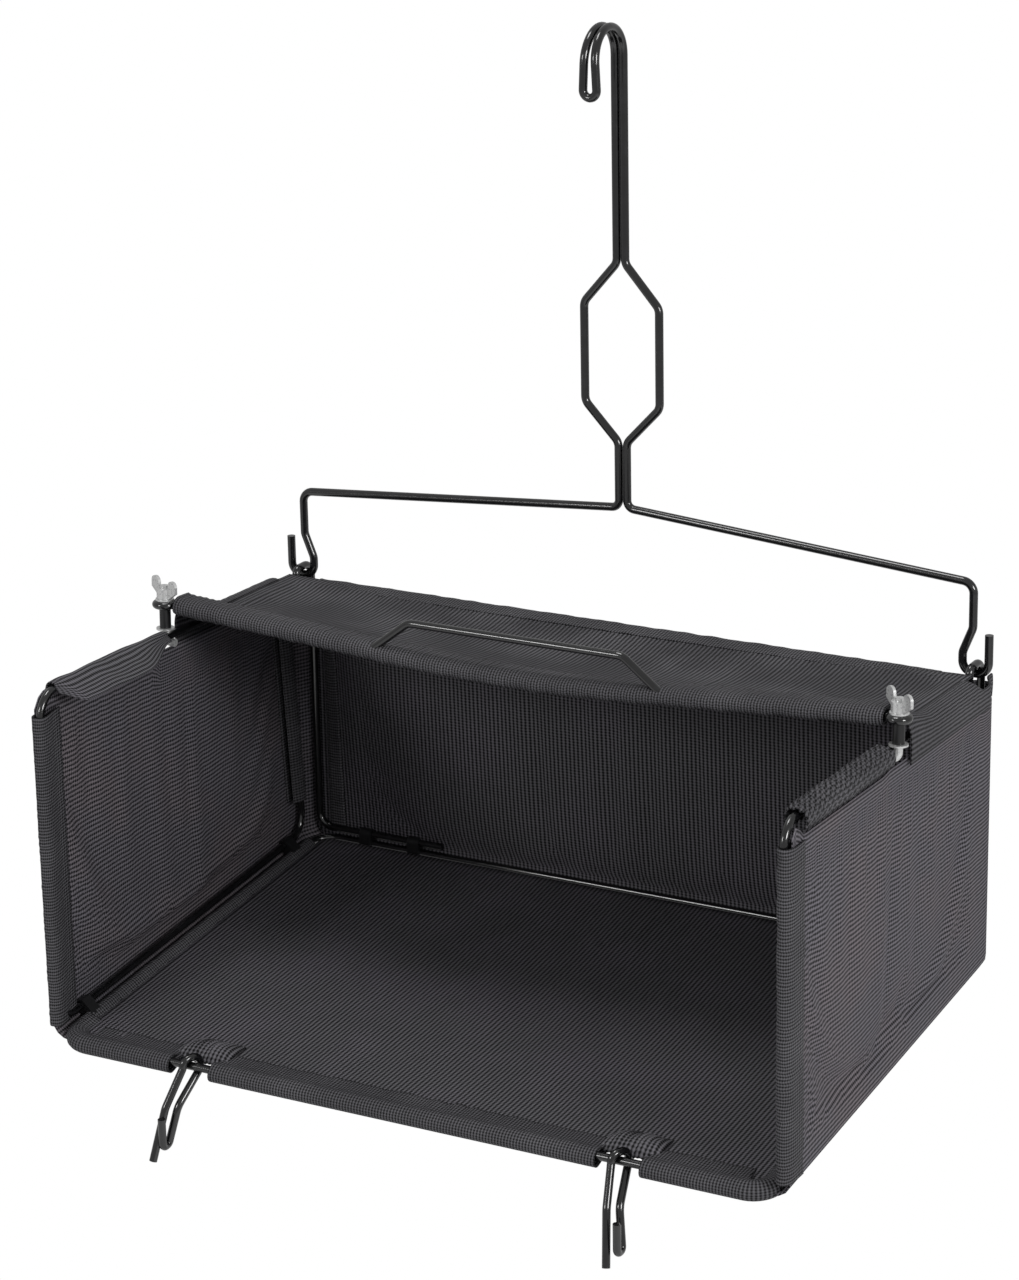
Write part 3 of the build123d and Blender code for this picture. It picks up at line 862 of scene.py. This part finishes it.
for name, side in {"left": -1, "right": 1}.items():
    sleeve_round = curve_length(sleeve_section(side, sleeve_length / 2))

    def sleeve_place(u, v, side=side, around=sleeve_round):
        step = curve_point(sleeve_section(side, v), u / around)
        y = sleeve_start + v
        crease = sleeve_pucker * pucker(y * sleeve_stretch, u, sleeve_pucker_size, side)
        if side > 0:
            crease += gather_height * math.sin(
                (y + gather_slant * u) * 2 * math.pi / gather_pitch)
        return Vector((side * (side_x + step.x), y, rail_z(y) + step.y + crease))

    sleeve = cloth(f"rail_sleeve_{name}", sleeve_round, sleeve_length, sleeve_place, sleeve_cell)
    sew(sleeve, inner_mesh if side < 0 else hem_mesh)
    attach(sleeve, f"side_{name}")
    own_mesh(sleeve)
    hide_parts(f"rail_hem_front_{name}")


# ---- Bindings on the side rails' rear ends ----
# Behind the clamp's travel a short binding of the same mesh is folded over the rail, and holds
# the side sheet's top edge to it.
binding_pucker = 0.0004
binding_pucker_size = 0.006
binding_section = [
    (0.0050, -0.0120), (0.0050, -0.0035), (0.0028, 0.0032), (-0.0026, 0.0034),
    (-0.0042, -0.0010), (-0.0030, -0.0100)]
for name, side in {"left": -1, "right": 1}.items():
    bind_low, bind_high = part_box(f"rail_hem_rear_{name}")

    def binding_place(u, v, side=side, low=bind_low):
        y = low.y + v
        step = curve_point(binding_section, u / curve_length(binding_section))
        fold = binding_pucker * pucker(y, u, binding_pucker_size, side)
        return Vector((side * (side_x + step.x), y, rail_z(y) + step.y + fold))

    binding = cloth(f"rail_binding_{name}", curve_length(binding_section),
                    bind_high.y - bind_low.y, binding_place, fine_cell)
    sew(binding, hem_mesh)
    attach(binding, f"side_{name}")
    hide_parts(f"rail_hem_rear_{name}")


# ---- Hood sheet ----
# The half hood is the back's cloth carried on over the rear rail to the hood bar, with its ribs
# front to back. Its side edges come down to the side rails behind the clamps.
bar_low, bar_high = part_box("bar_hem_right")
bar_y = clamp_y + 0.0005
bar_radius = hem_radius - 0.0012
bar_inner = Vector((bar_low.x, bar_low.z + hem_radius))
bar_outer = Vector((bar_high.x, bar_high.z - hem_radius))
handle_foot = bar_inner.x - 0.008
free_sag = 0.004
hood_half = 0.2285
hood_front = 0.0035              # behind the bar
hood_rear = rail_y - 0.002
hood_rear_lift = 0.0036
hood_sag = 0.004
edge_lift = 0.0054
edge_drop_run = 0.050
edge_bend_x = 0.165
hood_ripple = 0.0008
hood_ripple_size = 0.028
hood_stretch = 0.5
hood_tape_x = 0.15               # its length is taken here, from bar to rail
hood_slack = 0.005
top_shadow = "#0a0a0b"
top_ridge = "#57565a"
# The same mesh, as a shaded copy for the hood: paler painted shade in its gaps, darker grey ribs.
top_mesh = ribbed_mesh(
    "shaded_copy_ribbed_polyester_mesh", top_shadow, top_ridge, mesh_ridge, contrast=0.62)


def bar_z(x):
    """Height of the hood's front edge: on the bar, and slack between the handle's feet."""
    across = abs(x)
    if across > handle_foot:
        share = (across - bar_inner.x) / (bar_outer.x - bar_inner.x)
        return mix(bar_inner.y, bar_outer.y, share)
    foot = mix(bar_inner.y, bar_outer.y, (handle_foot - bar_inner.x) / (bar_outer.x - bar_inner.x))
    return foot - free_sag * (1 - (across / handle_foot) ** 2)


hood_rise = bar_z(hood_tape_x) + bar_radius - rear_rail_z - hood_rear_lift
hood_length = math.hypot(hood_rear - bar_y - hood_front, hood_rise)


def hood_place(u, v):
    """The hood sags from the bar to the rail, and its sides come down to the side rails."""
    x = u - hood_half
    share = v / hood_length
    y = mix(bar_y + hood_front, hood_rear, share)
    front = bar_z(x) + bar_radius
    crown = mix(front, rear_rail_z + hood_rear_lift, share) - hood_sag * math.sin(math.pi * share)
    drop = 1 - smooth_step((y - bar_y) / edge_drop_run)
    edge = rail_z(y) + edge_lift + (bar_z(hood_half) + bar_radius - rail_z(y) - edge_lift) * drop
    side_share = smooth_step((abs(x) - edge_bend_x) / (hood_half - edge_bend_x))
    ripple = hood_ripple * pucker(x, y * hood_stretch, hood_ripple_size, seed=2.0)
    ripple *= math.sin(math.pi * share)
    return Vector((x, y, mix(crown, edge, side_share) + ripple))


hood_sheet = cloth("hood_sheet", 2 * hood_half, hood_length, hood_place)
let_hang(hood_sheet, lambda point: abs(point.x) < hood_half - held_edge
         and bar_y + held_edge < point.y < hood_rear - held_edge, hood_slack)
sew(hood_sheet, top_mesh)


# ---- Bindings on the hood's side edges ----
# The hood's side edges are turned down outside the rails and sewn double, as narrow bindings.
# They end in a flat skirt outside the hanger's eye hooks.
edge_section = [
    (-0.0040, 0.0060), (0.0015, 0.0060), (0.0064, 0.0028), (0.0074, -0.0040), (0.0070, -0.0125)]
edge_start = bar_y + 0.0125
edge_end = rear_y + 0.003
edge_front_lift = 0.009
edge_lift_run = 0.040
eye_front = -0.008
eye_slope = 0.007
skirt_reach = 0.0066
skirt_top = 0.0008
corner_inset = 0.0075
corner_start = 0.006
corner_run = 0.021
edge_pucker = 0.0005
edge_pucker_size = 0.007
hood_edges = []
for name, side in {"left": -1, "right": 1}.items():

    def edge_place(u, v, side=side):
        y = edge_start + v
        share = u / curve_length(edge_section)
        step = curve_point(edge_section, share)
        lift = edge_front_lift * (1 - smooth_step(v / edge_lift_run))
        past_eye = smooth_step((y - eye_front) / eye_slope)
        x = (mix(step.x, max(step.x, skirt_reach), past_eye)
             - corner_inset * smooth_step((y - corner_start) / corner_run))
        up = (mix(step.y, min(step.y, skirt_top), past_eye)
              + edge_pucker * abs(pucker(y, u, edge_pucker_size, side)))
        return Vector((side * (side_x + x), y, rail_z(y) + up + lift * smooth_step(1 - share)))

    hood_edge = cloth(f"hood_edge_{name}", curve_length(edge_section), edge_end - edge_start,
                      edge_place, fine_cell)
    sew(hood_edge, hem_mesh)
    hood_edges.append(hood_edge)

slide = next(joint for joint in frame["joints"] if joint["name"] == "hood_slide")
for piece in [hood_sheet] + hood_edges:
    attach(piece, "basket")
    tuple(slide["axis"])
    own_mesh(piece)
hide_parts("top_panel")


# ---- Hem on the hood bar ----
# The hood's front edge is turned round the bar and sewn back on itself. Between the handle's feet
# the bar leaves it, so there the hem is free and hangs a little.
bar_section = [
    (0.0130, 0.0036), (0.0060, 0.0042), (0.0005, 0.0045), (-0.0038, 0.0018), (-0.0040, -0.0024),
    (-0.0004, -0.0050), (0.0045, -0.0034), (0.0120, 0.0012)]
bar_end = side_x - 0.0028
bar_pucker = 0.0006
bar_pucker_size = 0.009


def bar_hem_place(u, v):
    """The section goes round the bar, all along the hood's front edge."""
    x = v - bar_end
    step = curve_point(bar_section, u / curve_length(bar_section))
    fold = (bar_pucker * pucker(x, u, bar_pucker_size, seed=5.0)
            + stitch_bump * math.sin(x / stitch_step))
    return Vector((x, bar_y + step.x + fold, bar_z(x) + step.y + fold))


bar_hem = cloth("hood_bar_hem", curve_length(bar_section), 2 * bar_end, bar_hem_place, hem_cell,
                ribs_across=True)
sew(bar_hem, hem_mesh)
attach(bar_hem, "hood")
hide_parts("bar_hem_left", "bar_hem_right")


# ---- Floor, lights and camera ----
# A white studio: a pale floor well below the hanging basket, and three soft lights, at the right,
# in front at the left, and above. The camera looks down a little from the front right.
floor_drop = 0.35
floor_size = 14
studio_white = "#ffffff"
floor_white = "#efefef"
room_light = 0.42

bpy.ops.object.select_all(action="DESELECT")
bpy.ops.mesh.primitive_plane_add(size=floor_size, location=(0, 0, cad_box[0].z - floor_drop))
ground = bpy.context.object
ground.name = "studio_floor"
# Matt white paper: it throws the lamps' light back up, and is plain white to the camera.
paper = new_material("white_studio_paper")
rays = add_node(paper, "ShaderNodeLightPath", {})
sheet_white = add_node(paper, "ShaderNodeBsdfDiffuse", {"Color": linear(floor_white)})
glow = add_node(paper, "ShaderNodeEmission", {"Color": linear(studio_white), "Strength": 1.0})
blend = add_node(paper, "ShaderNodeMixShader", {
    0: (rays, "Is Camera Ray"), 1: (sheet_white, "BSDF"), 2: (glow, "Emission")})
add_node(paper, "ShaderNodeOutputMaterial", {"Surface": (blend, "Shader")})
ground.data.materials.append(paper)

world = bpy.data.worlds.new("white_studio")
bpy.context.scene.world = world
world.use_nodes = True
world.node_tree.nodes.clear()
rays = add_node(world, "ShaderNodeLightPath", {})
strength = add_node(world, "ShaderNodeMapRange", {
    "Value": (rays, "Is Camera Ray"), "To Min": room_light, "To Max": 1.0})
sky = add_node(world, "ShaderNodeBackground", {
    "Color": linear(studio_white), "Strength": (strength, "Result")})
add_node(world, "ShaderNodeOutputWorld", {"Surface": (sky, "Background")})

aim = Vector((0, -0.117, -0.40))
for name, place, size, power in (
        ("side_softbox", (1.7, -0.8, 0.3), 0.55, 15),
        ("front_softbox", (-0.9, -1.9, 0.4), 0.45, 8),
        ("top_softbox", (-0.3, -0.2, 1.5), 0.6, 9)):
    bpy.ops.object.light_add(type="AREA", location=place)
    lamp = bpy.context.object
    lamp.name = name
    lamp.data.size = size
    lamp.data.energy = power
    lamp.rotation_mode = "QUATERNION"
    lamp.rotation_quaternion = (aim - Vector(place)).to_track_quat("-Z", "Y")

camera_azimuth = math.radians(28.75)
camera_elevation = math.radians(18.36)
camera_roll = math.radians(-1.10)
camera_distance = 2.151
camera_target = Vector((-0.0044, -0.117, -0.3285))
camera_lens = 106.5
backward = Vector((
    math.sin(camera_azimuth) * math.cos(camera_elevation),
    -math.cos(camera_azimuth) * math.cos(camera_elevation),
    math.sin(camera_elevation)))
bpy.ops.object.camera_add(location=camera_target + backward * camera_distance)
camera = bpy.context.object
camera.data.lens = camera_lens
camera.rotation_mode = "QUATERNION"
upright = (-backward).to_track_quat("-Z", "Y").to_matrix()
camera.rotation_quaternion = (upright @ Matrix.Rotation(camera_roll, 3, "Z")).to_quaternion()
bpy.context.scene.camera = camera
bpy.context.scene.view_settings.view_transform = "Standard"
